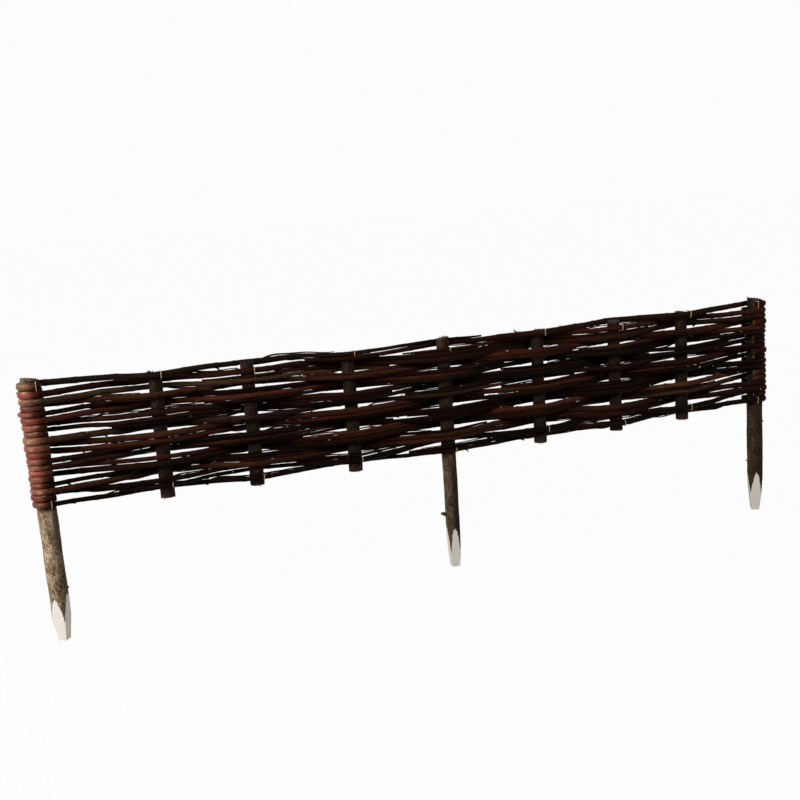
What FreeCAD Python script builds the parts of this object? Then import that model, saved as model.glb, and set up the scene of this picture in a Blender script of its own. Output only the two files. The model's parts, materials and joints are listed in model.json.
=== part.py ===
"""Woven willow edging hurdle: pointed stakes and short uprights with willow rods woven between them.

Frame: X runs along the panel, Y through its thickness with the front at -Y, and Z is up.
The origin is on the middle stake's axis at the ground line, where the woven band is lowest.
Sizes are in millimetres and angles in degrees.
"""

import FreeCAD
import Part

import math
import os
import random
from collections import namedtuple

# Panel
STAKE_SPAN = 1164.0  # between the axes of the two end stakes
BAND_HEIGHT = 175.0
BURIED_LENGTH = 186.0  # of a stake, below the ground line
END_LIFT = 7.0  # the band stands this much higher at its ends than in the middle

# Uprights: stakes that go into the ground, and short ones that only hold the weave
BAY_SHARES = (1.12, 0.89, 1.03, 1.04, 1.09, 0.95, 0.87, 1.01)  # uneven, as set by hand
STAKE_EVERY = 4
END_STAKE_DIAMETER = 26.0
MIDDLE_STAKE_DIAMETER = 22.0
SHORT_UPRIGHT_DIAMETER = 21.0
RADIUS_TAPER = 0.006  # radius lost for each millimetre above the ground line
UPRIGHT_SIDES = 20
STAKE_HEAD = 4.0  # above the band
SHORT_HEAD = 3.0
SHORT_FOOT = 8.0  # below the band
HEAD_CUT_ANGLE = 9.0  # of the slanting saw cut on an upright's head

# Stake points: four flat axe cuts down to a blunt square end
POINT_LENGTH = 66.0
POINT_END_WIDTH = 12.4
POINT_TURNS = (60.0, 86.0, 65.0)  # about each stake's axis

# Willow rods: each row has one from each end stake, and their thin ends pass in the middle
SEED = 37
ROD_SIDES = 6
BUTT_DIAMETER = 8.2  # mean, before the rods in a column are squeezed or let out to fill the band
TIP_DIAMETER = 3.8
ROD_VARIATION = 0.22  # of a rod's diameter, either way
LEFT_BAY_COUNTS = (4, 6, 3, 5, 7)  # crossed by the rod from the left, from the top row down
SHARED_BAY_COUNTS = (1, 2)  # crossed by both rods, from the top row down
ROW_SIDES = "BFFBFFBBFBBFFBBFFBF"  # front or back of the end stakes, from the top row down
TIP_OVERHANG = 55.0  # past the last upright

# Turns round the end stakes, where a bent rod is squeezed flat
TURN_SPREAD = 1.04  # of its height
TURN_THINNING = 0.68  # of its thickness
TURN_GAP = 0.68  # mean gap between one turn and the next
TURN_CORNERS = 7
TAIL_LENGTH = 1.0  # of the cut butt, past the stake's side

# Staples over the top and bottom rods
STAPLE_WIRE = 1.0
STAPLE_OFFSET = 7.0  # along the panel from the upright's axis

# Clearances
ROD_GAP = 0.15  # between two rods in one column
SEAT_GAP = 0.1  # between a rod and the upright that it bends round
STAPLE_GAP = 0.15  # between a staple's leg and a rod
LEAST_TWIST = 1e-6  # six times the volume between a side's four corners, below which the side is flat

FRONT = -1
BACK = 1
ACROSS = FreeCAD.Vector(0, 1, 0)
UP = FreeCAD.Vector(0, 0, 1)
HALF_SPAN = STAKE_SPAN / 2
BAY_COUNT = len(BAY_SHARES)
ROW_COUNT = round(BAND_HEIGHT / (BUTT_DIAMETER * TURN_SPREAD + TURN_GAP))

Upright = namedtuple("Upright", "name x diameter low high point_turn")
Rod = namedtuple("Rod", "name row end side butt tip bays")
Place = namedtuple("Place", "z radius")
Station = namedtuple("Station", "x y z half_width half_height across")


def lift(x):
    """Height of the band's lower edge at x."""
    return END_LIFT * (x / HALF_SPAN) ** 2


def make_uprights():
    """The uprights from left to right, every fourth one a stake."""
    uprights = []
    x = -STAKE_SPAN * sum(BAY_SHARES[:STAKE_EVERY]) / sum(BAY_SHARES)
    turns = iter(POINT_TURNS)
    for index in range(BAY_COUNT + 1):
        top = lift(x) + BAND_HEIGHT
        if index % STAKE_EVERY:
            name = f"short_upright_{index - index // STAKE_EVERY}"
            foot = lift(x) - SHORT_FOOT
            uprights.append(Upright(name, x, SHORT_UPRIGHT_DIAMETER, foot, top + SHORT_HEAD, None))
        else:
            name = {0: "left_stake", BAY_COUNT: "right_stake"}.get(index, "middle_stake")
            diameter = MIDDLE_STAKE_DIAMETER if name == "middle_stake" else END_STAKE_DIAMETER
            uprights.append(Upright(name, x, diameter, -BURIED_LENGTH, top + STAKE_HEAD, next(turns)))
        if index < BAY_COUNT:
            x += STAKE_SPAN * BAY_SHARES[index] / sum(BAY_SHARES)
    return uprights


def upright_radius(upright, z):
    """Radius of an upright, which tapers above the ground line."""
    return upright.diameter / 2 - RADIUS_TAPER * max(z, 0.0)


def make_rods(dice):
    """The rods from the bottom of the band up, two to a row, drawn from the top row down."""
    rods = []
    for place in range(ROW_COUNT):
        row = ROW_COUNT - 1 - place
        side = FRONT if ROW_SIDES[place % len(ROW_SIDES)] == "F" else BACK
        left_bays = LEFT_BAY_COUNTS[place % len(LEFT_BAY_COUNTS)]
        right_bays = BAY_COUNT + SHARED_BAY_COUNTS[place % len(SHARED_BAY_COUNTS)] - left_bays
        pair = []
        for word, end, bays in (("left", -1, left_bays), ("right", 1, right_bays)):
            butt = BUTT_DIAMETER * dice.uniform(1 - ROD_VARIATION, 1 + ROD_VARIATION)
            tip = TIP_DIAMETER * dice.uniform(1 - ROD_VARIATION, 1 + ROD_VARIATION)
            pair.append(Rod(f"{word}_rod_{place + 1:02d}", row, end, side, butt, tip, bays))
        dice.shuffle(pair)
        rods = pair + rods
    return rods


def home_index(rod):
    """Index of the end stake that a rod starts from."""
    return 0 if rod.end < 0 else BAY_COUNT


def reach(rod, index):
    """Bays from a rod's own end stake to an upright."""
    return abs(index - home_index(rod))


def side_at(rod, index):
    """A rod passes in front of one upright and behind the next."""
    return rod.side * (-1) ** index


def grown_radius(rod, x, uprights):
    """Radius of a tapering rod, as it grew, where it has come as far as x."""
    last = uprights[home_index(rod) - rod.end * rod.bays]
    start = uprights[home_index(rod)].x
    share = min(1.0, abs(x - start) / abs(last.x - start))
    return (rod.butt + (rod.tip - rod.butt) * share) / 2


def members_at(rods, index):
    """The rods that come to an upright, from the bottom up."""
    return [rod for rod in rods if reach(rod, index) <= rod.bays]


def stapled_places(members, index):
    """Places in a column of the lowest and highest rods that show in front of the upright."""
    if index in (0, BAY_COUNT):
        return (0, len(members) - 1)
    fronts = [i for i, rod in enumerate(members) if side_at(rod, index) == FRONT]
    return (fronts[0], fronts[-1])


def stack_column(rods, index, uprights):
    """Place of each rod that comes to an upright: squeezed or let out until the column fills the band."""
    upright = uprights[index]
    members = members_at(rods, index)
    heights = []
    for rod in members:
        height = 2 * grown_radius(rod, upright.x, uprights)
        if index == home_index(rod):
            height *= TURN_SPREAD
        heights.append(height)
    rooms = [0.0] * len(members)
    for place in stapled_places(members, index):
        rooms[place] += STAPLE_WIRE + 2 * STAPLE_GAP
    free = BAND_HEIGHT - ROD_GAP * (len(members) - 1) - 2 * sum(rooms)
    squeeze = free / sum(heights)
    column = {}
    low = lift(upright.x)
    for rod, height, room in zip(members, heights, rooms):
        taken = squeeze * height + 2 * room
        column[rod] = Place(low + taken / 2, squeeze * grown_radius(rod, upright.x, uprights))
        low += taken + ROD_GAP
    return column


def gap_height(rod, rods, index, uprights, columns):
    """Height of the gap that a rod's thin end points at in a column that it doesn't come to."""
    place = rods.index(rod)
    low = lift(uprights[index].x)
    high = low + BAND_HEIGHT
    for other, (z, radius) in columns[index].items():
        if rods.index(other) < place:
            low = max(low, z + radius)
        else:
            high = min(high, z - radius)
    return (low + high) / 2


def turn_stations(rod, uprights, place):
    """A rod's level turn round its end stake, from its cut butt to where it is clear of the other butts."""
    stake = uprights[home_index(rod)]
    half_width = place.radius * TURN_THINNING
    half_height = place.radius * TURN_SPREAD
    seat = upright_radius(stake, place.z - half_height) + half_width + SEAT_GAP
    next_x = uprights[home_index(rod) - rod.end].x
    leaving = math.asin(2 * seat / abs(next_x - stake.x))
    turn = (math.pi + leaving) / TURN_CORNERS
    mitre = 1 / math.cos(turn / 2)
    clear = stake.diameter / 2 + TAIL_LENGTH
    clear_x = stake.x - rod.end * clear
    clear_y = rod.side * (seat - clear * math.sin(leaving)) / math.cos(leaving)
    side = ACROSS * rod.side
    stations = [Station(clear_x, -rod.side * seat, place.z, half_width, half_height, -side)]
    for corner in reversed(range(TURN_CORNERS)):
        angle = math.pi / 2 - leaving + (corner + 0.5) * turn
        outward = FreeCAD.Vector(-rod.end * math.cos(angle), rod.side * math.sin(angle), 0)
        x = stake.x + mitre * seat * outward.x
        y = mitre * seat * outward.y
        stations.append(Station(x, y, place.z, mitre * half_width, half_height, outward))
    leaving_width = half_width / math.cos(leaving)
    return stations + [Station(clear_x, clear_y, place.z, leaving_width, half_height, side)]


def seat_stations(rod, index, uprights, place):
    """The two ends of the stretch where a rod lies flat against an upright."""
    upright = uprights[index]
    z, radius = place
    seat = upright_radius(upright, z - radius) + radius + SEAT_GAP
    y = side_at(rod, index) * seat
    half_seat = upright.diameter / 2
    ends = (upright.x + rod.end * half_seat, upright.x - rod.end * half_seat)
    return [Station(x, y, z, radius, radius, ACROSS * rod.side) for x in ends]


def tip_station(rod, uprights, before, z_next):
    """A rod's thin end, which tapers off in the gap that closes towards the next upright."""
    last = uprights[home_index(rod) - rod.end * rod.bays]
    beyond = uprights[home_index(rod) - rod.end * (rod.bays + 1)]
    share = TIP_OVERHANG / (abs(beyond.x - last.x) - (last.diameter + beyond.diameter) / 2)
    return Station(
        before.x - rod.end * TIP_OVERHANG,
        before.y * (1 - 2 * share),
        before.z + (z_next - before.z) * share,
        before.half_width * (1 - share),
        before.half_height * (1 - share),
        before.across,
    )


def rod_stations(rod, rods, uprights, columns):
    """The places along a rod where its section is set, from its butt to its tip."""
    home = home_index(rod)
    stations = turn_stations(rod, uprights, columns[home][rod])
    for bay in range(1, rod.bays + 1):
        index = home - rod.end * bay
        stations += seat_stations(rod, index, uprights, columns[index][rod])
    z_next = gap_height(rod, rods, home - rod.end * (rod.bays + 1), uprights, columns)
    return stations + [tip_station(rod, uprights, stations[-1], z_next)]


def section_corners(station):
    """Corners of a rod's section, with a flat to each side and a corner above and below."""
    angles = [2 * math.pi * (i + 0.5) / ROD_SIDES for i in range(ROD_SIDES)]
    wide = station.half_width / max(map(math.cos, angles))
    tall = station.half_height / max(map(math.sin, angles))
    centre = FreeCAD.Vector(station.x, station.y, station.z)
    return [centre + station.across * wide * math.cos(a) + UP * tall * math.sin(a) for a in angles]


def flat_face(*corners):
    """A flat face with the given corners."""
    return Part.Face(Part.makePolygon([*corners, corners[0]]))


def side_faces(near, far):
    """The sides of a rod between two sections: flat, or folded along the diagonal where they are twisted."""
    faces = []
    for i in range(ROD_SIDES):
        a, b, c, d = near[i - 1], near[i], far[i], far[i - 1]
        twist = (b - a).cross(d - a).dot(c - a)
        if abs(twist) < LEAST_TWIST:
            faces.append(flat_face(a, b, c, d))
        else:
            faces += [flat_face(a, b, c), flat_face(a, c, d)]
    return faces


def make_rod(stations):
    """One willow rod: flat-sided between its sections and cut square at its ends."""
    sections = [section_corners(station) for station in stations]
    faces = [flat_face(*sections[0]), flat_face(*sections[-1])]
    for near, far in zip(sections, sections[1:]):
        faces += side_faces(near, far)
    return Part.Solid(Part.Shell(faces))


def front_edge(station):
    """X and Y of the front flat of a rod's section."""
    out = -math.copysign(station.half_width, station.across.y)
    return station.x + out * station.across.x, station.y + out * station.across.y


def front_face(stations, x):
    """Y of a rod's front face, its height and its half height where it passes x in front of an upright."""
    for a, b in zip(stations, stations[1:]):
        a_x, a_y = front_edge(a)
        b_x, b_y = front_edge(b)
        share = (x - a_x) / (b_x - a_x)
        if 0 <= share <= 1 and a.y + b.y < 0:
            return a_y + (b_y - a_y) * share, a.z + (b.z - a.z) * share, max(a.half_height, b.half_height)
    raise ValueError(f"no rod passes x = {x}")


def make_staple(upright, stations):
    """A wire staple across one rod, with its legs reaching into the upright."""
    x = upright.x + (-STAPLE_OFFSET if upright.name == "right_stake" else STAPLE_OFFSET)
    edges = [front_face(stations, x + shift) for shift in (-STAPLE_WIRE / 2, STAPLE_WIRE / 2)]
    inner_y = min(edge[0] for edge in edges)
    outer_y = inner_y - STAPLE_WIRE
    z = edges[0][1]
    inner = edges[0][2] + STAPLE_GAP
    outer = inner + STAPLE_WIRE
    outline = [(0, inner), (inner_y, inner), (inner_y, -inner), (0, -inner)]
    outline += [(0, -outer), (outer_y, -outer), (outer_y, outer), (0, outer)]
    corners = [FreeCAD.Vector(x - STAPLE_WIRE / 2, y, z + up) for y, up in outline]
    return flat_face(*corners).extrude(FreeCAD.Vector(STAPLE_WIRE, 0, 0))


def make_staples(rods, uprights, paths, shapes):
    """The staples of all uprights, each with its legs trimmed to the upright's face."""
    staples = []
    for index, upright in enumerate(uprights):
        members = members_at(rods, index)
        for place in stapled_places(members, index):
            staple = make_staple(upright, paths[members[place].name])
            staples += staple.cut(shapes[upright.name]).Solids
    return staples


def polygon_on_axis(sides, corner_radius, z):
    """A regular polygon about the Z axis, with a flat to the front and the back."""
    points = []
    for i in range(sides + 1):
        angle = 2 * math.pi * (i + 0.5) / sides
        points.append(FreeCAD.Vector(corner_radius * math.cos(angle), corner_radius * math.sin(angle), z))
    return Part.makePolygon(points)


def tapered_prism(sides, low_radius, low, high_radius, high):
    """A straight-sided stick between two polygons on the Z axis."""
    ends = [polygon_on_axis(sides, low_radius, low), polygon_on_axis(sides, high_radius, high)]
    return Part.makeLoft(ends, True, True)


def buried_shaft(upright):
    """The round shaft of a stake below the ground line, hewn to four flats at its foot."""
    radius = upright.diameter / 2
    foot = FreeCAD.Vector(POINT_END_WIDTH / 2, 0, upright.low)
    slope = math.degrees(math.atan((radius - foot.x) / POINT_LENGTH))
    shape = Part.makeCylinder(radius, -upright.low, FreeCAD.Vector(0, 0, upright.low))
    for quarter in range(4):
        waste = Part.makeBox(upright.diameter, upright.diameter, 2 * POINT_LENGTH, foot - ACROSS * radius)
        waste.rotate(foot, ACROSS, slope)
        waste.rotate(FreeCAD.Vector(), UP, upright.point_turn + 90 * quarter)
        shape = shape.cut(waste)
    return shape


def cut_head(shape, upright, index):
    """Saws an upright's head off at a slant, a different way on each upright."""
    size = 2 * upright.diameter
    waste = Part.makeBox(2 * size, 2 * size, size, FreeCAD.Vector(-size, -size, 0))
    waste.rotate(FreeCAD.Vector(), FreeCAD.Vector(0, 1, 0), HEAD_CUT_ANGLE)
    waste.rotate(FreeCAD.Vector(), UP, 360 * index / (BAY_COUNT + 1))
    drop = upright_radius(upright, upright.high) * math.tan(math.radians(HEAD_CUT_ANGLE))
    waste.translate(FreeCAD.Vector(0, 0, upright.high - drop))
    return shape.cut(waste)


def make_upright(upright, index):
    """One upright: a tapering stick with its head sawn off, on a pointed shaft if it is a stake."""
    is_stake = upright.point_turn is not None
    low = 0 if is_stake else upright.low
    low_radius = upright_radius(upright, low)
    high_radius = upright_radius(upright, upright.high)
    shape = tapered_prism(UPRIGHT_SIDES, low_radius, low, high_radius, upright.high)
    shape = cut_head(shape, upright, index)
    if is_stake:
        shape = shape.fuse(buried_shaft(upright))
    shape.translate(FreeCAD.Vector(upright.x, 0, 0))
    return shape


def main():
    dice = random.Random(SEED)
    uprights = make_uprights()
    rods = make_rods(dice)
    columns = [stack_column(rods, index, uprights) for index in range(len(uprights))]
    paths = {rod.name: rod_stations(rod, rods, uprights, columns) for rod in rods}

    shapes = {name: make_rod(stations) for name, stations in paths.items()}
    for index, upright in enumerate(uprights):
        shapes[upright.name] = make_upright(upright, index)
    shapes["staples"] = Part.makeCompound(make_staples(rods, uprights, paths, shapes))

    os.makedirs("parts", exist_ok=True)
    for name, shape in shapes.items():
        shape.exportStep(os.path.join("parts", f"{name}.step"))


main()
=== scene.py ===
import json
import math
import random
from collections import namedtuple

import bpy
import numpy as np
from mathutils import Matrix, Vector, noise


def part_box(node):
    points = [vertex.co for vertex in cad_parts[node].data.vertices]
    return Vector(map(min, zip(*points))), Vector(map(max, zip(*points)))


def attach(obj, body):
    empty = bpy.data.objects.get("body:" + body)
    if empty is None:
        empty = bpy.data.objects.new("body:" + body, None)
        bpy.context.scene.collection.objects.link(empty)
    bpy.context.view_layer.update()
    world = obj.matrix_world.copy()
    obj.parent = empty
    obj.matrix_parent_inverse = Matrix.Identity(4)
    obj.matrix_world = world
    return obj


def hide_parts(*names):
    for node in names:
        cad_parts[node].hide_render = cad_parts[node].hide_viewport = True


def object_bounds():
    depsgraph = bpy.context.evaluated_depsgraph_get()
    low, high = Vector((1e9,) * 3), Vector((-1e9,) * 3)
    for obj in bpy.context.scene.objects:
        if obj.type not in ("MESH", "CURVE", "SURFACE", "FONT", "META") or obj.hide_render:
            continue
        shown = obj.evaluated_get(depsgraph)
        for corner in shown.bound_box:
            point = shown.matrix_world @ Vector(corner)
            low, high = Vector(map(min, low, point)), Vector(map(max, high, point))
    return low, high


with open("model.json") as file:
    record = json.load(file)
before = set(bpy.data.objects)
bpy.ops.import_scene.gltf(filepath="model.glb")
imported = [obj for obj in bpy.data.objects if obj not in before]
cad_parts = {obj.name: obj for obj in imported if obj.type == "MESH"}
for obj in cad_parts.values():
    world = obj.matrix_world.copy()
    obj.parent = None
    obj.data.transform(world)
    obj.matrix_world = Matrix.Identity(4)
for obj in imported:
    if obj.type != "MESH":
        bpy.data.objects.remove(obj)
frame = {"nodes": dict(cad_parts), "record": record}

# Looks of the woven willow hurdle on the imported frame: barked rods, stakes with hewn points, wire staples.
# Lengths are in metres: X along the panel, front at -Y, Z up.

CAD_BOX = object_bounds()
MM = 0.001
BODY = "root"
SEED = 41
KEY_STEP = 3.37  # from one piece's place in the noise to the next one's
SHARP_ANGLE = 48  # degrees between two faces, above which their edge is sharp

# Reading the frame
LEAST_POST = 1.5 * MM  # two corners of a rod's section that stand above each other are further apart
POST_REACH = 7 * MM  # corners of one section are nearer to its centre
TURN_REACH = 25 * MM  # sections nearer to an end stake belong to the turn round it
IN_LINE = 0.03 * MM  # a section this near to the line between its neighbours only repeats them
LEAST_FACE = MM * MM  # twice the area of the smallest triangle that counts as a face
SAME_PLANE = 0.999  # product of two normals, above which their faces count as one
POINT_SLOPES = (-0.4, -0.04)  # between which the Z of a normal is that of a point's cut
HEAD_SLOPES = (0.9, 1.1)  # and that of a sawn head

# Rods
ROD_SIDES = 12
ROD_STEP = 2.6 * MM
BOW = 3.2 * MM  # neighbouring rods stray together between two uprights
BOW_LENGTHS = (110 * MM, 38 * MM)  # of that straying, along and up
WOBBLE = 0.9 * MM  # each rod by itself
WOBBLE_LENGTH = 38 * MM
SWELLING = 0.07  # of a rod's radius, along its length
SWELLING_LENGTH = 45 * MM
OVALNESS = 0.045  # of its radius, round it
OVAL_LENGTH = 20 * MM
FULLNESS = (-0.14, -0.06, 0.0, 0.09, 0.16, 0.17, 0.14, 0.05, -0.06)  # added to its height at each upright
CAP_ROWS = (0.96, 0.88, 0.6, 0.3, 0.1)  # shares of a cut end's radius
CUT_SLANT = 0.28  # of a cut end
CUT_FRESHNESS_AND_SHADE = {"left": (0.15, 0.2, 0.3, 0.9), "right": (0.05, 0.1, 0.12, 0.15)}  # of its wood, drawn at random for each rod; the low values on the right are painted shade
CUT_EDGE = 0.35  # share of that at its rim
ROD_TONES = (0.04, 0.84)  # of the bark, from dark to pale
TONE_DRIFT = 0.25  # along one rod
TONE_LENGTH = 120 * MM

# Turns round the end stakes, with edges measured from the stake's axis toward the panel's middle
TURN_EDGES = (1 * MM, 17 * MM)  # between these the added height sets in
TURN_LIGHT_EDGES = (-4 * MM, 11 * MM)  # between these the bark goes over from the turn's painted tone to the rod's own, so a turn's painted light fades toward the panel's middle
# Tones painted on the turns: painted light on the left turns, an even middle tone on the right ones
PAINTED_TURN_TONES = {"left": 1.22, "right": 0.5}
TURN_LENGTH = 60 * MM  # of a rod from its butt, without twigs
SCAR_LENGTH = 11 * MM  # of the noise that breaks the bark on a turn
SCAR_EDGES = (0.46, 0.6)  # of that noise: past the first the bark starts to break, past the second it is off
SCAR_FRESHNESS_AND_SHADE = {"left": 0.5, "right": 0.1}  # of the wood below it; the low value on the right is painted shade
SCAR_DEPTH = 0.35  # share of the radius below the rim, where that wood's colour comes from

# Buds, cut side shoots and twigs
NODE_SPACING = (26 * MM, 62 * MM)
NODE_SWELL = 0.13
NODE_LENGTH = 2.6 * MM
BUD_LENGTH = (2.2 * MM, 3.6 * MM)
BUD_RADIUS = 0.28  # of the rod's radius
BUD_SEAT = 0.9  # of the rod's radius, where a bud or shoot starts
SHOOT_SHARE = 0.16  # of the nodes have a cut side shoot instead of a bud
SHOOT_LENGTH = (1.5 * MM, 6.5 * MM)
SHOOT_RADIUS = (0.9 * MM, 1.5 * MM)
SHOOT_SIDES = 7
SIDE_NUDGE = (0.01, 0.001)  # outward and up, so that a shoot is never in line with its rod
TWIG_SHARE = 0.45  # of the nodes bear a thin twig that runs along with the rod
TWIG_LENGTH = (60 * MM, 180 * MM)
TWIG_RADIUS = (1.0 * MM, 1.9 * MM)
TWIG_TAPER = 0.6  # of its radius, lost towards its tip
TWIG_RISE = 24 * MM  # over which it leaves the rod
TWIG_DEPTH = 1.2 * MM  # behind the rod's middle
TWIG_STRAY = 0.3  # of its distance from the rod's middle
TWIG_STRAY_LENGTH = 30 * MM
LEAST_TWIG_ROWS = 14  # a twig that would have fewer isn't grown

# Forms of small things: lean away from the stick, then for each ring its (share of length, share of radius)
# and whether it shows cut wood
Form = namedtuple("Form", "lean profile cuts")
BUD = Form(0.35, ((-0.3, 0.5), (0.1, 1.0), (0.5, 0.85), (0.85, 0.45), (1.0, 0.12)), (0, 0, 0, 0, 0))
SHOOT = Form(
    0.9,
    ((-0.5, 1.25), (0.1, 1.3), (0.4, 1.05), (1.0, 1.0), (1.0, 0.82), (1.02, 0.2)),
    (0, 0, 0, 0, 1, 1),
)
SPLINTER_PROFILE = ((-0.4, 1.0), (0.2, 0.9), (0.7, 0.5), (1.0, 0.1))

# Uprights
UPRIGHT_SIDES = 88
BARK_STEP = 1.5 * MM
HIDDEN_STEP = 2.6 * MM  # behind the weave
HIDDEN_FROM = 12 * MM  # above the ground line
POINT_STEP = 0.75 * MM
POINT_LENGTH = 62 * MM  # from a stake's foot, with rows close together and no knots
HEAD_ZONE = 9 * MM  # below a sawn head the rows tilt into the cut
HEAD_ROWS = 6
LEAN = 0.9 * MM  # how far a stick is from straight
LEAN_LENGTH = 90 * MM
LUMP = 0.055  # of its radius
LUMP_SCALES = ((0.8, 50 * MM), (1.6, 20 * MM))  # of coarse and fine lumps, round the stick and along it
FINE_LUMP = 0.5  # of a coarse lump
RIDGE = 0.45 * MM
RIDGE_SCALE = (2.2, 21 * MM)
RIDGE_FRACTAL = (0.9, 2.1, 3, 0.9, 1.6)  # dimension, lacunarity, octaves, offset and gain
RIDGE_SHARE = 0.5  # of RIDGE for each unit of its noise
GRIT = 0.22 * MM
GRIT_SCALE = (7, 3 * MM)
GRIT_FRACTAL = (0.8, 2.0, 3)  # dimension, lacunarity and octaves
AXE_MARK = 0.16 * MM
AXE_MARK_LENGTH = 14 * MM
AXE_MARK_STEP = 3.7  # in the noise, from one flat to the next
AXE_MARK_TURN = 1.5  # in the noise, for each radian round the stick
LEAST_FACING = 0.05  # of a flat towards a direction, below which it can't cut there
BARK_THICKNESS = 0.12 * MM
CUT_DEPTH = 0.5  # share of the radius below the rim, where a hewn flat's colour comes from
UPRIGHT_TONES = {"left_stake": 0.82, "middle_stake": 0.33, "right_stake": 0.25}  # from dark to pale bark
SHORT_TONE = 0.2
PAINTED_SIDE_LIGHT = 0.5  # by which that is painted paler on the left side and darker on the right: painted light and shade
BAND_PAINTED_SHADE = 0.4  # painted shade: tone of the bark in the weave beside that below it
BAND_EDGE = 8 * MM
HEAD_TRIM = 5 * MM  # of a short upright, whose head stays behind the top rods
HEAD_WEAR = 0.02  # how much a weathered head still shows of its cut wood
SPLINTER_COUNT = 9  # round an end that was sawn roughly
SPLINTER_LENGTH = (0.8 * MM, 2.8 * MM)
SPLINTER_RADIUS = (0.3 * MM, 0.7 * MM)
SPLINTER_LEAN = (-0.1, 0.6)  # outward
SPLINTER_SEAT = 0.6  # of its radius, inside the rim
SPLINTER_FRESHNESS = (0.01, 0.1)
SPLINTER_RIM = 0.5  # share of the radius, where its wood's colour comes from
STUB_HEIGHT = -100 * MM  # of the stub of a side shoot on the middle stake's left
STUB_RADIUS = 3.4 * MM
STUB_LENGTH = 10 * MM
STUB_RISE = np.array([0, 0, 0.12])
STUB_OUTWARD = np.array([-1.0, -0.2, 0])
KNOT_COUNT = 7  # along the bare part of a stake
KNOT_RADIUS = (1.0 * MM, 2.2 * MM)
KNOT_LENGTH = (1.6 * MM, 3.4 * MM)
KNOT_RISE = np.array([0, 0, 0.4])

# Staples, with their bend and bulge in radii of the wire
WIRE_SIDES = 8
WIRE_STEP = 0.5 * MM
WIRE_BEND = 2.2
WIRE_BULGE = 0.4

# Layers of the noise, one for each use
BOW_LAYER = 0.5
LEAN_LAYERS = (1.5, 4.5)
LIFT_LAYER = 2.5
TWIG_LAYER = 3.5
TONE_LAYER = 5.5
SHIFT_LAYER = 7.5
SWELLING_LAYER = 11.5
SCAR_LAYER = 17.5

# Levels of bark in deep shade, of its body, where it is light, and of the painted light on a turn
ROD_BARKS = {
    "dark_rod_bark": ((14, 7, 3), (35, 18, 10), (66, 36, 23), (130, 74, 58)),
    "red_rod_bark": ((15, 6, 3), (38, 17, 10), (72, 34, 23), (132, 66, 53)),
    "tan_rod_bark": ((14, 9, 6), (35, 23, 15), (72, 49, 33), (128, 88, 62)),
}

# Floor and world
FLOOR_REACH = 30.0
FLOOR_COLOR = (0.3, 0.3, 0.3, 1)
FLOOR_GLOW = 0.975  # share of white that the floor shows over its own shaded colour
WORLD_SEEN = 0.98
WORLD_STRENGTH = 0.025  # of its light on the object
WHITE = (1, 1, 1, 1)

# Camera fitted to the photograph, with angles in degrees and a focal length for an image 800 pixels wide
IMAGE_WIDTH = 800
FOCAL_PIXELS = 1031
CAMERA_YAW = 18.75
CAMERA_PITCH = 10.88
CAMERA_ROLL = -3.84
CAMERA_DISTANCE = 1.559
CAMERA_TARGET = (-0.074, 0, 0.0903)
SENSOR_WIDTH = 36.0

dice = random.Random(SEED)


# Reading the frame

def node_corners(node):
    """A CAD node's vertices and triangles, with equal vertices merged."""
    mesh = frame["nodes"][node].data
    flat = np.empty(len(mesh.vertices) * 3, np.float32)
    mesh.vertices.foreach_get("co", flat)
    mesh.calc_loop_triangles()
    used = np.empty(len(mesh.loop_triangles) * 3, np.int32)
    mesh.loop_triangles.foreach_get("vertices", used)
    points, merged = np.unique(flat.reshape(-1, 3), axis=0, return_inverse=True)
    return points.astype(float), merged.reshape(-1)[used].reshape(-1, 3)


def rod_sections(node):
    """Centres of a rod's sections with their half widths and half heights, in no order."""
    columns = {}
    for x, y, z in node_corners(node)[0]:
        columns.setdefault((round(x, 5), round(y, 5)), []).append(z)
    posts = np.array([(x, y, min(zs), max(zs)) for (x, y), zs in columns.items()])
    posts = posts[posts[:, 3] - posts[:, 2] > LEAST_POST]
    heights = posts[:, 3] - posts[:, 2]
    sections = []
    for post, height in zip(posts, heights):
        distance = np.hypot(posts[:, 0] - post[0], posts[:, 1] - post[1])
        near = distance < POST_REACH
        if height >= heights[near].max():
            half_width = distance[near].max()
            sections.append((post[0], post[1], (post[2] + post[3]) / 2, half_width, height / 2))
    return np.array(sections)


def end_side(node):
    """The end of the panel at which a rod starts, left or right."""
    return node.split("_")[0]


def from_end(node, x):
    """Distance along the panel from the axis of a rod's end stake, positive toward the panel's middle."""
    return x - UPRIGHT_PLACES[0] if end_side(node) == "left" else UPRIGHT_PLACES[-1] - x


def rod_controls(node):
    """A rod's sections in order from its cut butt, round its end stake and on to its tip."""
    sections = rod_sections(node)
    distance = from_end(node, sections[:, 0])
    is_woven = distance > TURN_REACH
    woven = sections[is_woven][np.argsort(distance[is_woven])]
    butt_side = np.sign(woven[0, 1])
    turn = sections[~is_woven]
    angles = np.arctan2(butt_side * turn[:, 1], distance[~is_woven]) % (2 * math.pi)
    chain = np.concatenate([turn[np.argsort(angles)], woven])
    kept = [chain[0]]
    for here, after in zip(chain[1:], chain[2:]):
        run = after[:3] - kept[-1][:3]
        off = np.linalg.norm(np.cross(run, here[:3] - kept[-1][:3])) / np.linalg.norm(run)
        if off > IN_LINE:
            kept.append(here)
    return np.array(kept + [chain[-1]])


def node_planes(node, least, most):
    """Planes of a node's faces whose normals have a Z between least and most: [(normal, offset), ...]."""
    points, triangles = node_corners(node)
    a, b, c = (points[triangles[:, i]] for i in range(3))
    normals = np.cross(b - a, c - a)
    areas = np.linalg.norm(normals, axis=1)
    planes = []
    for i in np.argsort(-areas):
        if areas[i] < LEAST_FACE:
            break
        normal = normals[i] / areas[i]
        if least < normal[2] < most and all(normal @ other < SAME_PLANE for other, _ in planes):
            planes.append((normal, normal @ a[i]))
    return planes


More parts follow.
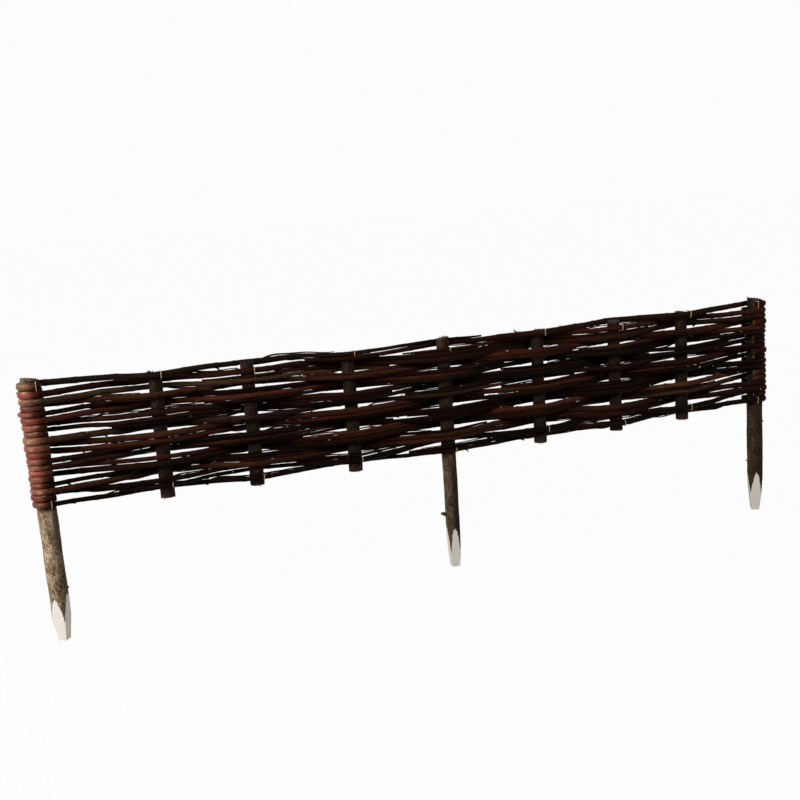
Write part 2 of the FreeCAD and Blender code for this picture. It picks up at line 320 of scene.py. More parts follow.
def node_islands(node):
    """Lowest and highest corners of each separate solid in a node."""
    points, triangles = node_corners(node)
    label = np.arange(len(points))
    changed = True
    while changed:
        lowest = label[triangles].min(axis=1)
        before = label.copy()
        for i in range(3):
            np.minimum.at(label, triangles[:, i], lowest)
        changed = (label != before).any()
    return [(points[label == i].min(0), points[label == i].max(0)) for i in np.unique(label)]


UPRIGHTS = sorted((n for n in frame["nodes"] if "stake" in n or "upright" in n), key=lambda n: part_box(n)[0].x)
UPRIGHT_PLACES = [sum(corner.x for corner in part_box(n)) / 2 for n in UPRIGHTS]
SLOTS = {part["node"]: part["material_slot"] for part in frame["record"]["subparts"]}


# Putting meshes together

class Shape:
    """Closed grids of points that make one piece, with the values that its material reads."""

    def __init__(self):
        self.points = []
        self.faces = []
        self.grain = []
        self.values = {"tone": [], "cut": [], "rim": [], "depth": []}
        self.count = 0

    def add(self, points, grain, **values):
        """Adds rows of rings, closed around and closed at both ends."""
        rows, sides = points.shape[:2]
        index = self.count + np.arange(rows * sides).reshape(rows, sides)
        after = np.roll(index, -1, axis=1)
        quads = np.stack([index[:-1], after[:-1], after[1:], index[1:]], axis=-1)
        self.faces += quads.reshape(-1, 4).tolist()
        self.faces += [index[0, ::-1].tolist(), index[-1].tolist()]
        self.points.append(points.reshape(-1, 3))
        self.grain.append(grain.reshape(-1, 3))
        for name, kept in self.values.items():
            kept.append(np.broadcast_to(values.get(name, 0.0), (rows, sides)).reshape(-1))
        self.count += rows * sides

    def piece(self, name, slot, node):
        """Makes the mesh object that stands for a CAD node."""
        mesh = bpy.data.meshes.new(name)
        mesh.from_pydata(np.concatenate(self.points).tolist(), [], self.faces)
        mesh.shade_smooth()
        mesh.set_sharp_from_angle(angle=math.radians(SHARP_ANGLE))
        grain = mesh.attributes.new("grain", "FLOAT_VECTOR", "POINT")
        grain.data.foreach_set("vector", np.concatenate(self.grain).astype(np.float32).ravel())
        for key, kept in self.values.items():
            layer = mesh.attributes.new(key, "FLOAT", "POINT")
            layer.data.foreach_set("value", np.concatenate(kept).astype(np.float32))
        mesh.materials.append(FINISHES[slot])
        piece = bpy.data.objects.new(name, mesh)
        bpy.context.scene.collection.objects.link(piece)
        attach(piece, BODY)
        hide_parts(node)


def wave(*place):
    """Smooth noise between about -1 and 1."""
    return noise.noise(Vector(place))


def unit(vectors):
    return vectors / np.linalg.norm(vectors, axis=-1, keepdims=True)


def around(sides):
    return 2 * math.pi * np.arange(sides) / sides


def spline(controls, step):
    """Points on a curve that touches the middle of every run between control points."""
    middles = (controls[1:] + controls[:-1]) / 2
    middles[0] = controls[0]
    middles[-1] = controls[-1]
    found = []
    for start, bend, end in zip(middles, controls[1:-1], middles[1:]):
        length = np.linalg.norm((bend - start)[:3]) + np.linalg.norm((end - bend)[:3])
        share = np.arange(0, 1, 1 / max(2, math.ceil(length / step)))[:, None]
        found.append((1 - share) ** 2 * start + 2 * share * (1 - share) * bend + share ** 2 * end)
    return np.concatenate(found + [controls[-1:]])


def shrunk(ring, middle):
    """Rows that close a ring, from its rim inward."""
    return np.array([middle + share * (ring - middle) for share in CAP_ROWS])


def with_caps(start, rows, end):
    """Rows with those of a cap before and after them, each cap given from its rim inward."""
    return np.concatenate([start[::-1], rows, end])


def sweep(middles, across, up, radius, sides):
    """Round rings along a path, one for each of its points."""
    angles = around(sides)
    ring = np.cos(angles)[None, :, None] * across[:, None] + np.sin(angles)[None, :, None] * up[:, None]
    return middles[:, None] + radius[:, None, None] * ring


def spike(base, heading, side, length, radius, profile):
    """Rings of a small straight thing, with shares of its length and radius for each."""
    angles = around(SHOOT_SIDES)
    ring = np.outer(np.cos(angles), side) + np.outer(np.sin(angles), np.cross(heading, side))
    return np.array([base + heading * length * up + ring * radius * wide for up, wide in profile])


def add_shoot(shape, form, base, along, outward, radius, length, tone):
    """A bud or knot that lies along a stick, or a side shoot cut off short."""
    heading = unit(along + form.lean * outward)
    side = unit(np.cross(heading, along + SIDE_NUDGE[0] * outward + (0, 0, SIDE_NUDGE[1])))
    points = spike(base, heading, side, length, radius, form.profile)
    grain = np.array([
        [(length * up, radius * wide * math.cos(a), radius * wide * math.sin(a)) for a in around(SHOOT_SIDES)]
        for up, wide in form.profile
    ])
    rims = np.array([min(wide, 1.0) for _, wide in form.profile])
    shape.add(points, grain, tone=tone, cut=np.array(form.cuts, float)[:, None], rim=rims[:, None])


# Rods

def slack(x):
    """How free a rod is to stray at x: not at all on an upright, and most half way between two."""
    for low, high in zip(UPRIGHT_PLACES, UPRIGHT_PLACES[1:]):
        if low <= x <= high:
            return math.sin(math.pi * (x - low) / (high - low)) ** 2
    return 0.0


def turn_share(node, x, edges):
    """How far a place on a rod belongs to the turn round its end stake: 1 on the turn, 0 past it."""
    return np.interp(from_end(node, x), edges, (1, 0))


def fullness(node, x):
    """A rod's height at x as a share of its solid's: the weave is more open at the panel's ends."""
    return 1 + (1 - turn_share(node, x, TURN_EDGES)) * np.interp(x, UPRIGHT_PLACES, FULLNESS)


def rod_path(node, key):
    """Points along a rod's middle with its half widths and half heights."""
    controls = rod_controls(node)
    headings = np.unwrap(np.arctan2(np.diff(controls[:, 1]), np.diff(controls[:, 0])))
    half_turns = np.diff(headings) / 2
    controls[1:-1, 3] *= np.cos(half_turns)
    path = spline(controls, ROD_STEP)
    for point in path:
        x, _, z = point[:3]
        free = slack(x)
        point[2] += free * BOW * wave(x / BOW_LENGTHS[0], z / BOW_LENGTHS[1], BOW_LAYER)
        point[2] += free * WOBBLE * wave(x / WOBBLE_LENGTH, key, LIFT_LAYER)
        point[1] += free * WOBBLE * wave(x / WOBBLE_LENGTH, key, SHIFT_LAYER)
        point[4] *= fullness(node, x)
    return path


def sweep_axes(middles):
    """Unit vectors along, across and up at every point of a path that is nearly level."""
    along = unit(np.gradient(middles, axis=0))
    across = unit(np.cross(along, (0, 0, 1)))
    return along, across, np.cross(across, along)


def grow_nodes(length):
    """Places along a rod with a bud or a cut side shoot: [(distance, angle, is_shoot), ...]."""
    places = []
    distance = dice.uniform(*NODE_SPACING)
    while distance < length - NODE_SPACING[0] / 2:
        is_shoot = dice.random() < SHOOT_SHARE
        places.append((distance, dice.uniform(0, 2 * math.pi), is_shoot))
        distance += dice.uniform(*NODE_SPACING)
    return places


def rod_radii(path, travel, places, key):
    """Half widths and half heights of a rod at every point of its rings, swollen at its nodes."""
    angles = around(ROD_SIDES)
    swell = np.array([1 + SWELLING * wave(s / SWELLING_LENGTH, key, SWELLING_LAYER) for s in travel])
    for distance, _, _ in places:
        swell += NODE_SWELL * np.exp(-((travel - distance) / NODE_LENGTH) ** 2)
    oval = np.array([
        [1 + OVALNESS * wave(s / OVAL_LENGTH, math.cos(a) + key, math.sin(a)) for a in angles]
        for s in travel
    ])
    wide = path[:, 3, None] * swell[:, None] * oval * np.cos(angles)
    tall = path[:, 4, None] * swell[:, None] * oval * np.sin(angles)
    return wide, tall


def torn_bark(travel, turn_light, key):
    """How far the bark of a turn is broken at every point of its rings, from 0 to 1."""
    torn = np.array([
        [wave(s / SCAR_LENGTH, key + math.cos(a), SCAR_LAYER + math.sin(a)) for a in around(ROD_SIDES)]
        for s in travel
    ])
    return turn_light[:, None] * np.interp(torn, SCAR_EDGES, (0, 1))


def add_twig(shape, path, along, up, travel, start, tone, key):
    """A thin twig that leaves a rod at a node and runs along above or below it."""
    reach = travel - travel[start]
    chosen = np.flatnonzero((reach >= 0) & (reach < dice.uniform(*TWIG_LENGTH)))
    if len(chosen) < LEAST_TWIG_ROWS:
        return
    reach = reach[chosen]
    radius = dice.uniform(*TWIG_RADIUS) * (1 - TWIG_TAPER * reach / reach[-1])
    way = dice.choice((-1, 1))
    risen = np.minimum(1, reach / TWIG_RISE)
    apart = (path[chosen, 4] + radius) * np.sin(risen * math.pi / 2)
    stray = np.array([1 + TWIG_STRAY * wave(r / TWIG_STRAY_LENGTH, key + start, TWIG_LAYER) for r in reach])
    middles = path[chosen, :3] + (way * apart * stray)[:, None] * up[chosen]
    middles[:, 1] += TWIG_DEPTH * risen
    across = unit(np.cross(along[chosen], up[chosen]))
    points = sweep(middles, across, up[chosen], radius, SHOOT_SIDES)
    shape.add(points, points - middles[0], tone=tone)


def add_rod(shape, node, key):
    """One barked rod with its nodes, buds, cut shoots and cut ends."""
    side = end_side(node)
    path = rod_path(node, key)
    middles = path[:, :3]
    along, across, up = sweep_axes(middles)
    travel = np.concatenate([[0], np.cumsum(np.linalg.norm(np.diff(middles, axis=0), axis=1))])
    tone = dice.uniform(*ROD_TONES)
    places = grow_nodes(travel[-1])
    wide, tall = rod_radii(path, travel, places, key)
    rows = middles[:, None] + wide[..., None] * across[:, None] + tall[..., None] * up[:, None]
    slant = CUT_SLANT * dice.uniform(-1, 1)
    for end in (0, -1):
        rows[end] += slant * wide[end, :, None] * along[end]
    points = with_caps(shrunk(rows[0], middles[0]), rows, shrunk(rows[-1], middles[-1]))

    grain = np.stack([np.broadcast_to(travel[:, None] + key, wide.shape), wide, tall], axis=-1)
    first, last = ((travel[end] + key, 0, 0) for end in (0, -1))
    grain = with_caps(shrunk(grain[0], first), grain, shrunk(grain[-1], last))

    # A turn's painted light, which fades into the rod's own tone past the stake.
    turn_light = turn_share(node, middles[:, 0], TURN_LIGHT_EDGES)
    tones = np.array([tone + TONE_DRIFT * wave(s / TONE_LENGTH, key, TONE_LAYER) for s in travel])
    tones += turn_light * (PAINTED_TURN_TONES[side] - tone)
    tones = np.pad(tones, len(CAP_ROWS), mode="edge")

    cap_rims = np.array(CAP_ROWS)
    cap_cuts = np.array([CUT_EDGE] + [1] * (len(CAP_ROWS) - 1))
    # A cut end's wood shows less on the right, as painted shade.
    cut = dice.choice(CUT_FRESHNESS_AND_SHADE[side]) * with_caps(cap_cuts, np.zeros(len(travel)), cap_cuts)
    torn = np.pad(torn_bark(travel, turn_light, key), ((len(CAP_ROWS), len(CAP_ROWS)), (0, 0)))
    # Scars on the right turns are dimmed as painted shade.
    cut = np.maximum(cut[:, None], SCAR_FRESHNESS_AND_SHADE[side] * torn)
    rim = with_caps(cap_rims, np.ones(len(travel)), cap_rims)[:, None] - SCAR_DEPTH * torn
    shape.add(points, grain, tone=tones[:, None], cut=cut, rim=rim)

    for distance, angle, is_shoot in places:
        i = int(np.searchsorted(travel, distance))
        if distance > TURN_LENGTH and dice.random() < TWIG_SHARE:
            add_twig(shape, path, along, up, travel, i, tone, key)
        outward = math.cos(angle) * across[i] + math.sin(angle) * up[i]
        rod_radius = math.hypot(path[i, 3] * math.cos(angle), path[i, 4] * math.sin(angle))
        base = middles[i] + outward * rod_radius * BUD_SEAT
        form = SHOOT if is_shoot else BUD
        radius = dice.uniform(*SHOOT_RADIUS) if is_shoot else BUD_RADIUS * rod_radius
        length = dice.uniform(*(SHOOT_LENGTH if is_shoot else BUD_LENGTH))
        add_shoot(shape, form, base, along[i], outward, radius, length, tone)


# Uprights

def bark_relief(angle, z, key):
    """Swelling of a barked stick as a share of its radius, and the height of its bark's ridges."""
    c = math.cos(angle)
    s = math.sin(angle)
    (coarse, coarse_length), (fine, fine_length) = LUMP_SCALES
    lump = wave(c * coarse + key, s * coarse, z / coarse_length)
    lump += FINE_LUMP * wave(c * fine, s * fine + key, z / fine_length)
    turns, length = RIDGE_SCALE
    ridge = noise.ridged_multi_fractal(Vector((c * turns + key, s * turns, z / length)), *RIDGE_FRACTAL) - 1.0
    turns, length = GRIT_SCALE
    grit = noise.fractal(Vector((c * turns + key, s * turns, z / length)), *GRIT_FRACTAL)
    return LUMP * lump, RIDGE * ridge * RIDGE_SHARE + GRIT * grit


def upright_rows(node):
    """Rows of an upright, close where it is hewn or in view: [(height, share of the head's tilt), ...]."""
    low, high = (corner.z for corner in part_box(node))
    heights = [low]
    while heights[-1] < high - HEAD_TRIM - HEAD_ZONE:
        z = heights[-1]
        step = BARK_STEP if z < HIDDEN_FROM else HIDDEN_STEP
        if "stake" in node and z < low + POINT_LENGTH:
            step = POINT_STEP
        heights.append(z + step)
    rows = [(z, 0.0) for z in heights]
    return rows + [(heights[-1], (i + 1) / HEAD_ROWS) for i in range(HEAD_ROWS)]


def hewn_radius(flats, axis, angle, z, key):
    """How far from the axis the nearest flat of a hewn point lies in one direction."""
    direction = np.array([math.cos(angle), math.sin(angle)])
    nearest = math.inf
    for number, (normal, offset) in enumerate(flats):
        facing = normal[:2] @ direction
        if facing > LEAST_FACING:
            mark = AXE_MARK * wave(z / AXE_MARK_LENGTH, number * AXE_MARK_STEP + key, angle * AXE_MARK_TURN)
            nearest = min(nearest, (offset - normal[2] * z - normal[:2] @ axis) / facing + mark)
    return nearest


def add_upright(shape, node, key):
    """A barked stick with a sawn head, and a hewn point if it is a stake."""
    is_stake = "stake" in node
    low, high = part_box(node)
    axis = np.array([(low.x + high.x) / 2, (low.y + high.y) / 2])
    base_radius = (high.x - low.x) / 2
    corners, _ = node_corners(node)
    upper = corners[corners[:, 2] > corners[:, 2].max() - HEAD_ZONE]
    top_radius = np.hypot(upper[:, 0] - axis[0], upper[:, 1] - axis[1]).max()
    flats = node_planes(node, *POINT_SLOPES) if is_stake else []
    head_normal, head_offset = node_planes(node, *HEAD_SLOPES)[0]
    if not is_stake:
        head_offset -= HEAD_TRIM

    angles = around(UPRIGHT_SIDES)
    rows = upright_rows(node)
    radius = np.empty((len(rows), UPRIGHT_SIDES))
    height = np.empty((len(rows), UPRIGHT_SIDES))
    cut = np.zeros((len(rows), UPRIGHT_SIDES))
    depth = np.empty((len(rows), UPRIGHT_SIDES))
    for i, (z, share) in enumerate(rows):
        taper = base_radius + (top_radius - base_radius) * max(0.0, z) / high.z
        for j, angle in enumerate(angles):
            rim = axis + np.array([math.cos(angle), math.sin(angle)]) * taper
            top = (head_offset - head_normal[:2] @ rim) / head_normal[2]
            here = z + (top - z) * share
            lump, ridge = bark_relief(angle, here, key)
            grown = taper * (1 + lump) + ridge
            hewn = hewn_radius(flats, axis, angle, here, key)
            cut[i, j] = hewn < grown - BARK_THICKNESS
            radius[i, j] = min(grown, hewn)
            height[i, j] = here
            depth[i, j] = ridge / RIDGE

    points = upright_points(axis, angles, radius, height, key)
    tone = UPRIGHT_TONES.get(node, SHORT_TONE)
    # Painted shade darkens the bark in the weave.
    shade = np.interp(height, (0, BAND_EDGE), (1, BAND_PAINTED_SHADE))
    # Painted light on each upright's left side and painted shade on its right.
    add_upright_grid(shape, points, axis, cut, depth, tone * shade * (1 - PAINTED_SIDE_LIGHT * np.cos(angles)))
    add_splinters(shape, points[-1], 1, tone)
    if is_stake:
        add_knots(shape, points, tone)
    else:
        add_splinters(shape, points[0], -1, tone)
    if node == "middle_stake":
        place = np.array([axis[0] - base_radius, axis[1], STUB_HEIGHT])
        add_shoot(shape, BUD, place, STUB_RISE, STUB_OUTWARD, STUB_RADIUS, STUB_LENGTH, tone)


def upright_points(axis, angles, radius, height, key):
    """Points of an upright's side, with its middle a little off straight."""
    points = np.empty(radius.shape + (3,))
    points[..., 0] = axis[0] + radius * np.cos(angles)
    points[..., 1] = axis[1] + radius * np.sin(angles)
    points[..., 2] = height
    for row in points:
        z = row[:, 2].mean()
        row[:, :2] += [LEAN * wave(z / LEAN_LENGTH, key, layer) for layer in LEAN_LAYERS]
    return points


def add_upright_grid(shape, points, axis, cut, depth, tone):
    """Adds an upright's side with its foot and its sawn head."""
    middles = points.mean(axis=1)
    everything = with_caps(shrunk(points[0], middles[0]), points, shrunk(points[-1], middles[-1]))
    capped = np.ones((len(CAP_ROWS), points.shape[1]))
    rims = capped * np.array(CAP_ROWS)[:, None]
    shape.add(
        everything,
        everything[..., [2, 0, 1]] - np.array([0, axis[0], axis[1]]),
        tone=with_caps(capped * tone[0], tone, capped * tone[-1]),
        cut=with_caps(capped, cut, HEAD_WEAR * capped),
        rim=with_caps(rims, 1 - CUT_DEPTH * cut, rims),
        depth=with_caps(capped * 0, depth, capped * 0),
    )


def add_knots(shape, points, tone):
    """Small knots and bud scars on the bare part of a stake, above its point."""
    heights = points[:, 0, 2]
    bare = np.flatnonzero((heights > heights[0] + POINT_LENGTH) & (heights < 0))
    for _ in range(KNOT_COUNT):
        row = points[bare[dice.randrange(len(bare))]]
        place = row[dice.randrange(len(row))]
        outward = unit(place - row.mean(axis=0))
        radius = dice.uniform(*KNOT_RADIUS)
        length = dice.uniform(*KNOT_LENGTH)
        add_shoot(shape, BUD, place, KNOT_RISE, outward, radius, length, tone)


def add_splinters(shape, rim, way, tone):
    """Fibres torn up or down round the rim of a sawn end."""
    for _ in range(SPLINTER_COUNT):
        place = rim[dice.randrange(len(rim))]
        outward = unit(place - rim.mean(axis=0))
        heading = unit(np.array([0, 0, way]) + dice.uniform(*SPLINTER_LEAN) * outward)
        side = unit(np.cross(heading, outward))
        length = dice.uniform(*SPLINTER_LENGTH)
        radius = dice.uniform(*SPLINTER_RADIUS)
        base = place - SPLINTER_SEAT * radius * outward
        points = spike(base, heading, side, length, radius, SPLINTER_PROFILE)
        shape.add(points, points - base, tone=tone, cut=dice.uniform(*SPLINTER_FRESHNESS), rim=SPLINTER_RIM)


# Staples

def add_staple(shape, low, high):
    """A bent wire over one rod, with its legs at the upright behind it."""
    radius = (high[0] - low[0]) / 2
    x = (low[0] + high[0]) / 2
    bend = WIRE_BEND * radius
    front = low[1] + radius
    back = high[1] + radius
    top = high[2] - radius
    bottom = low[2] + radius
    upper = [
        (x, back, top),
        (x, (back + front) / 2, top),
        (x, front + bend, top),
        (x, front, top),
        (x, front, top - bend),
    ]
    lower = [(x, y, top + bottom - z) for x, y, z in reversed(upper)]
    controls = upper + [(x, front - WIRE_BULGE * radius, (top + bottom) / 2)] + lower
    middles = spline(np.array(controls), WIRE_STEP)
    along = unit(np.gradient(middles, axis=0))
    across = np.broadcast_to((1.0, 0, 0), along.shape)
    points = sweep(middles, across, np.cross(along, across), np.full(len(middles), radius), WIRE_SIDES)
    shape.add(points, points - points.mean(axis=(0, 1)))


# Materials

class Finish:
    """A procedural material whose nodes are added one by one."""

    def __init__(self, name):
        self.material = bpy.data.materials.new(name)
        self.material.use_nodes = True
        self.tree = self.material.node_tree
        self.surface = self.tree.nodes["Principled BSDF"]

    def put(self, socket, value):
        if isinstance(value, bpy.types.NodeSocket):
            self.tree.links.new(value, socket)
        else:
            socket.default_value = value

    def add(self, kind, *values, out=0, **named):
        """Adds a node, fills its inputs in order or by name, and returns one of its outputs."""
        node = self.tree.nodes.new("ShaderNode" + kind)
        inputs = {}
        for key, value in named.items():
            if key[0].islower():
                setattr(node, key, value)
            else:
                inputs[key] = value
        for socket, value in zip(node.inputs, values):
            self.put(socket, value)
        for key, value in inputs.items():
            self.put(node.inputs[key], value)
        return node.outputs[out]

    def attribute(self, name, out="Fac"):
        return self.add("Attribute", attribute_name=name, out=out)

    def math(self, operation, *values):
        return self.add("Math", *values, operation=operation)

    def centred(self, value, share, base):
        """A noise's distance from its mean, times a share, on top of a base."""
        return self.math("MULTIPLY_ADD", self.math("SUBTRACT", value, 0.5), share, base)

    def scaled(self, vector, scale):
        return self.add("VectorMath", vector, scale, operation="MULTIPLY")

    def noise(self, vector, scale, detail, roughness=0.55):
        place = self.scaled(vector, scale)
        return self.add("TexNoise", Vector=place, Scale=1.0, Detail=detail, Roughness=roughness)

    def spots(self, vector, scale):
        return self.add("TexVoronoi", Vector=self.scaled(vector, scale), Scale=1.0, out="Distance")

    def range(self, value, low, high, to_low=0.0, to_high=1.0):
        return self.add("MapRange", value, low, high, to_low, to_high)

    def ramp(self, value, *stops):
        """Colours at positions from 0 to 1."""
        node = self.tree.nodes.new("ShaderNodeValToRGB")
        elements = node.color_ramp.elements
        while len(elements) < len(stops):
            elements.new(0.5)
        for element, (place, color) in zip(elements, stops):
            element.position = place
            element.color = (*color, 1)
        self.put(node.inputs[0], value)
        return node.outputs[0]

    def mix(self, share, first, second):
        node = self.tree.nodes.new("ShaderNodeMix")
        node.data_type = "RGBA"
        self.put(node.inputs[0], share)
        for socket, value in ((node.inputs[6], first), (node.inputs[7], second)):
            self.put(socket, value if isinstance(value, bpy.types.NodeSocket) else (*value, 1))
        return node.outputs[2]

    def surface_is(self, **values):
        for key, value in values.items():
            self.put(self.surface.inputs[key.replace("_", " ")], value)
        return self.material


def srgb(*levels):
    """A colour as linear light from levels of 0 to 255."""
    return tuple((v / 255 / 12.92) if v <= 10 else ((v / 255 + 0.055) / 1.055) ** 2.4 for v in levels)


def cut_wood(finish, grain, fresh, aged):
    """Colour of cut wood: fine streaks, darker pith and a brown line under the bark."""
    rim = finish.attribute("rim")
    streak = finish.noise(grain, (90, 1400, 1400), 3)
    wood = finish.ramp(finish.range(streak, 0.3, 0.7), (0, aged), (1, fresh))
    pith = finish.range(rim, 0.12, 0.26, 1, 0)
    wood = finish.mix(pith, wood, srgb(112, 72, 44))
    return finish.mix(finish.range(rim, 0.86, 0.97, 0, 0.7), wood, srgb(96, 66, 44))


def rod_bark(name, deep, body, light, turn_light):
    """Dry willow bark: tone differs from rod to rod, with streaks along it, mottling and pale lenticels, and
    painted light on the turns.
    """
    finish = Finish(name)
    grain = finish.attribute("grain", "Vector")
    tone = finish.attribute("tone")
    streak = finish.noise(grain, (45, 900, 900), 4)
    mottle = finish.noise(grain, (85, 240, 240), 5)
    shade = finish.centred(streak, 0.5, finish.centred(mottle, 0.6, tone))
    bark = finish.ramp(finish.range(shade, 0, 1.5), (0.05, deep), (0.32, body), (0.6, light), (0.9, turn_light))
    lenticel = finish.range(finish.spots(grain, (240, 520, 520)), 0.08, 0.18, 0.3, 0)
    bark = finish.mix(lenticel, bark, light)
    wood = cut_wood(finish, grain, srgb(214, 184, 140), srgb(178, 140, 98))
    color = finish.mix(finish.attribute("cut"), bark, wood)
    height = finish.math("MULTIPLY_ADD", streak, 0.6, finish.math("MULTIPLY_ADD", lenticel, 0.5, mottle))
    bump = finish.add("Bump", Strength=0.35, Distance=0.4 * MM, Height=height)
    rough = finish.range(mottle, 0.3, 0.7, 0.3, 0.5)
    shine = finish.range(tone, 0.9, 1.2, 0.012, 0.16)
    return finish.surface_is(Base_Color=color, Roughness=rough, Normal=bump, Specular_IOR_Level=shine)


def upright_bark(name):
    """Rough grey-olive bark with dark grooves and pale flecks, over cream wood where it is cut."""
    finish = Finish(name)
    grain = finish.attribute("grain", "Vector")
    tone = finish.attribute("tone")
    patch = finish.noise(grain, (38, 90, 90), 5)
    flake = finish.noise(grain, (230, 340, 340), 5, 0.65)
    grit = finish.noise(grain, (600, 1500, 1500), 3)
    shade = finish.math("MULTIPLY_ADD", finish.attribute("depth"), 0.16, finish.centred(flake, 1.25, patch))
    dark = finish.ramp(
        shade,
        (0.12, srgb(8, 6, 4)),
        (0.42, srgb(21, 15, 11)),
        (0.62, srgb(32, 24, 18)),
        (0.88, srgb(58, 44, 33)),
    )
    brown = finish.ramp(
        shade,
        (0.10, srgb(20, 13, 9)),
        (0.40, srgb(44, 30, 22)),
        (0.64, srgb(60, 42, 31)),
        (0.92, srgb(92, 70, 53)),
    )
    pale = finish.ramp(
        shade,
        (0.16, srgb(56, 41, 30)),
        (0.40, srgb(122, 101, 77)),
        (0.60, srgb(170, 148, 119)),
        (0.84, srgb(224, 209, 184)),
    )
    bark = finish.mix(finish.range(tone, 0.05, 0.25), dark, brown)
    bark = finish.mix(finish.range(tone, 0.3, 0.95), bark, pale)
    fleck = finish.range(finish.spots(grain, (330, 190, 190)), 0.08, 0.2, 0.5, 0)
    fleck = finish.math("MULTIPLY", fleck, finish.range(tone, 0, 0.3, 0.15, 1))
    bark = finish.mix(fleck, bark, srgb(150, 132, 104))
    wood = cut_wood(finish, grain, srgb(246, 240, 231), srgb(230, 218, 203))
    color = finish.mix(finish.attribute("cut"), bark, wood)
    height = finish.math("MULTIPLY_ADD", flake, 1.0, finish.math("MULTIPLY", grit, 0.5))
    bump = finish.add("Bump", Strength=0.6, Distance=0.6 * MM, Height=height)
    rough = finish.range(patch, 0.3, 0.7, 0.72, 0.9)
    return finish.surface_is(Base_Color=color, Roughness=rough, Normal=bump, Specular_IOR_Level=0.05)


def staple_wire(name):
    """Dull brassy wire with tarnish."""
    finish = Finish(name)
    tarnish = finish.noise(finish.attribute("grain", "Vector"), (700, 700, 700), 4)
    color = finish.ramp(tarnish, (0.35, srgb(120, 92, 58)), (0.6, srgb(206, 176, 122)))
    rough = finish.range(tarnish, 0.3, 0.7, 0.6, 0.3)
    return finish.surface_is(Base_Color=color, Metallic=0.9, Roughness=rough)


# The piece of every node

FINISHES = {slot: rod_bark(slot, *(srgb(*levels) for levels in colors)) for slot, colors in ROD_BARKS.items()}
FINISHES["upright_bark"] = upright_bark("upright_bark")
FINISHES["staple_wire"] = staple_wire("staple_wire")


def dress(node, key):
    """Builds the piece that stands for one CAD node."""
    shape = Shape()
    name = "barked_" + node
    if node in UPRIGHTS:
        add_upright(shape, node, key)
    elif node == "staples":
        name = "wire_staples"
        for low, high in node_islands(node):
            add_staple(shape, low, high)
    else:
        add_rod(shape, node, key)
    shape.piece(name, SLOTS[node], node)


for number, node_name in enumerate(sorted(frame["nodes"])):
    dress(node_name, KEY_STEP * number)


# Floor, light and camera

def seen_rays(tree):
    """A socket that is 1 for rays that show the background, from the camera, off metal or through glass."""
    rays = tree.nodes.new("ShaderNodeLightPath")
    seen = rays.outputs["Is Camera Ray"]
    for kind in ("Is Glossy Ray", "Is Transmission Ray"):
        either = tree.nodes.new("ShaderNodeMath")
        either.operation = "MAXIMUM"
        tree.links.new(seen, either.inputs[0])
        tree.links.new(rays.outputs[kind], either.inputs[1])
        seen = either.outputs[0]
    return seen


def add_floor():
    """A floor that shows white to the camera and still takes a faint shadow."""
    ground = CAD_BOX[0].z
    mesh = bpy.data.meshes.new("floor")
    corners = [(x * FLOOR_REACH, y * FLOOR_REACH, ground) for x, y in ((-1, -1), (1, -1), (1, 1), (-1, 1))]
    mesh.from_pydata(corners, [], [(0, 1, 2, 3)])
    finish = Finish("floor")
    finish.surface_is(Base_Color=FLOOR_COLOR, Roughness=1.0, Specular_IOR_Level=0.0)
    tree = finish.tree
    glow = tree.nodes.new("ShaderNodeEmission")
    glow.inputs["Color"].default_value = WHITE
    blend = tree.nodes.new("ShaderNodeMixShader")
    tree.links.new(finish.math("MULTIPLY", seen_rays(tree), FLOOR_GLOW), blend.inputs[0])
    tree.links.new(finish.surface.outputs[0], blend.inputs[1])
    tree.links.new(glow.outputs[0], blend.inputs[2])
    tree.links.new(blend.outputs[0], tree.nodes["Material Output"].inputs["Surface"])
    mesh.materials.append(finish.material)
    floor = bpy.data.objects.new("floor", mesh)
    bpy.context.scene.collection.objects.link(floor)


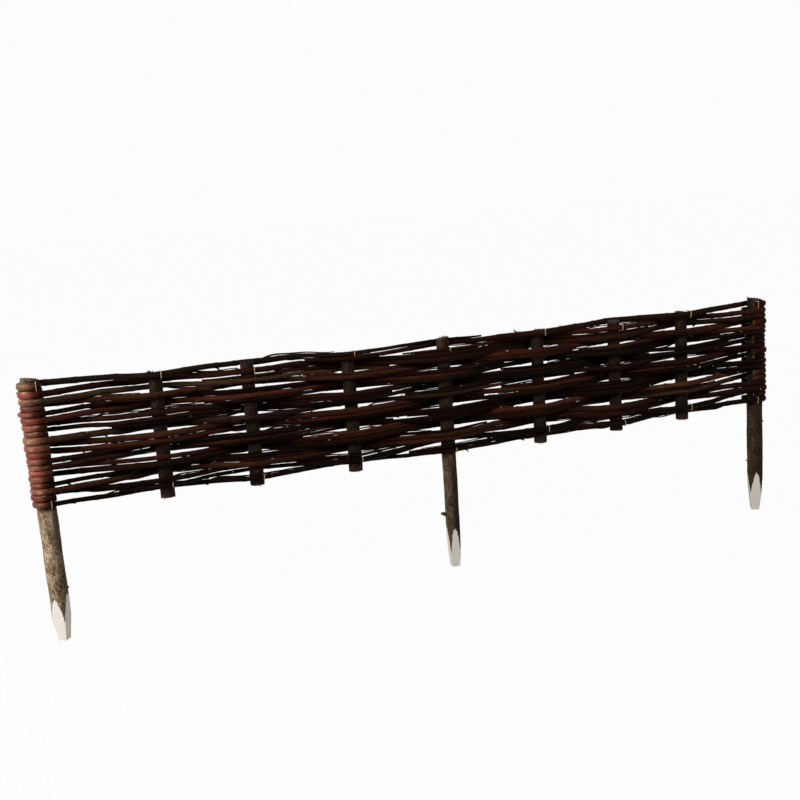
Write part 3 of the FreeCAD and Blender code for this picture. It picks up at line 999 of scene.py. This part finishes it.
def add_world():
    """Soft light from all around that the camera sees as white."""
    world = bpy.data.worlds.new("studio")
    world.use_nodes = True
    tree = world.node_tree
    back = tree.nodes["Background"]
    back.inputs["Color"].default_value = WHITE
    strength = tree.nodes.new("ShaderNodeMapRange")
    strength.inputs["To Min"].default_value = WORLD_STRENGTH
    strength.inputs["To Max"].default_value = WORLD_SEEN
    tree.links.new(seen_rays(tree), strength.inputs["Value"])
    tree.links.new(strength.outputs[0], back.inputs["Strength"])
    bpy.context.scene.world = world


def add_lamp(name, place, target, power, size):
    """A square soft light that faces a place on the panel."""
    light = bpy.data.lights.new(name, "AREA")
    light.energy = power
    light.size = size
    lamp = bpy.data.objects.new(name, light)
    lamp.location = place
    lamp.rotation_euler = (Vector(target) - Vector(place)).to_track_quat("-Z", "Y").to_euler()
    bpy.context.scene.collection.objects.link(lamp)


def add_camera():
    """The camera at the photograph's place."""
    yaw, pitch, roll = (math.radians(a) for a in (CAMERA_YAW, CAMERA_PITCH, CAMERA_ROLL))
    ahead = Vector((math.sin(yaw) * math.cos(pitch), math.cos(yaw) * math.cos(pitch), -math.sin(pitch)))
    level = ahead.cross(Vector((0, 0, 1))).normalized()
    upright = level.cross(ahead)
    right = math.cos(roll) * level + math.sin(roll) * upright
    above = math.cos(roll) * upright - math.sin(roll) * level
    data = bpy.data.cameras.new("camera")
    data.sensor_width = SENSOR_WIDTH
    data.lens = SENSOR_WIDTH * FOCAL_PIXELS / IMAGE_WIDTH
    camera = bpy.data.objects.new("camera", data)
    turn = Matrix((right, above, -ahead)).transposed()
    camera.matrix_world = Matrix.Translation(Vector(CAMERA_TARGET) - CAMERA_DISTANCE * ahead) @ turn.to_4x4()
    bpy.context.scene.collection.objects.link(camera)
    bpy.context.scene.camera = camera


add_floor()
add_world()
add_lamp("key", (-1.6, -0.5, 0.75), (-0.45, 0, 0), 28, 0.7)
add_lamp("fill", (1.2, -1.9, 1.7), (0, 0, 0), 36, 0.8)
add_lamp("back", (0.3, 2.1, 1.5), (0, 0, 0), 16, 1.0)
add_camera()
bpy.context.scene.view_settings.view_transform = "Standard"
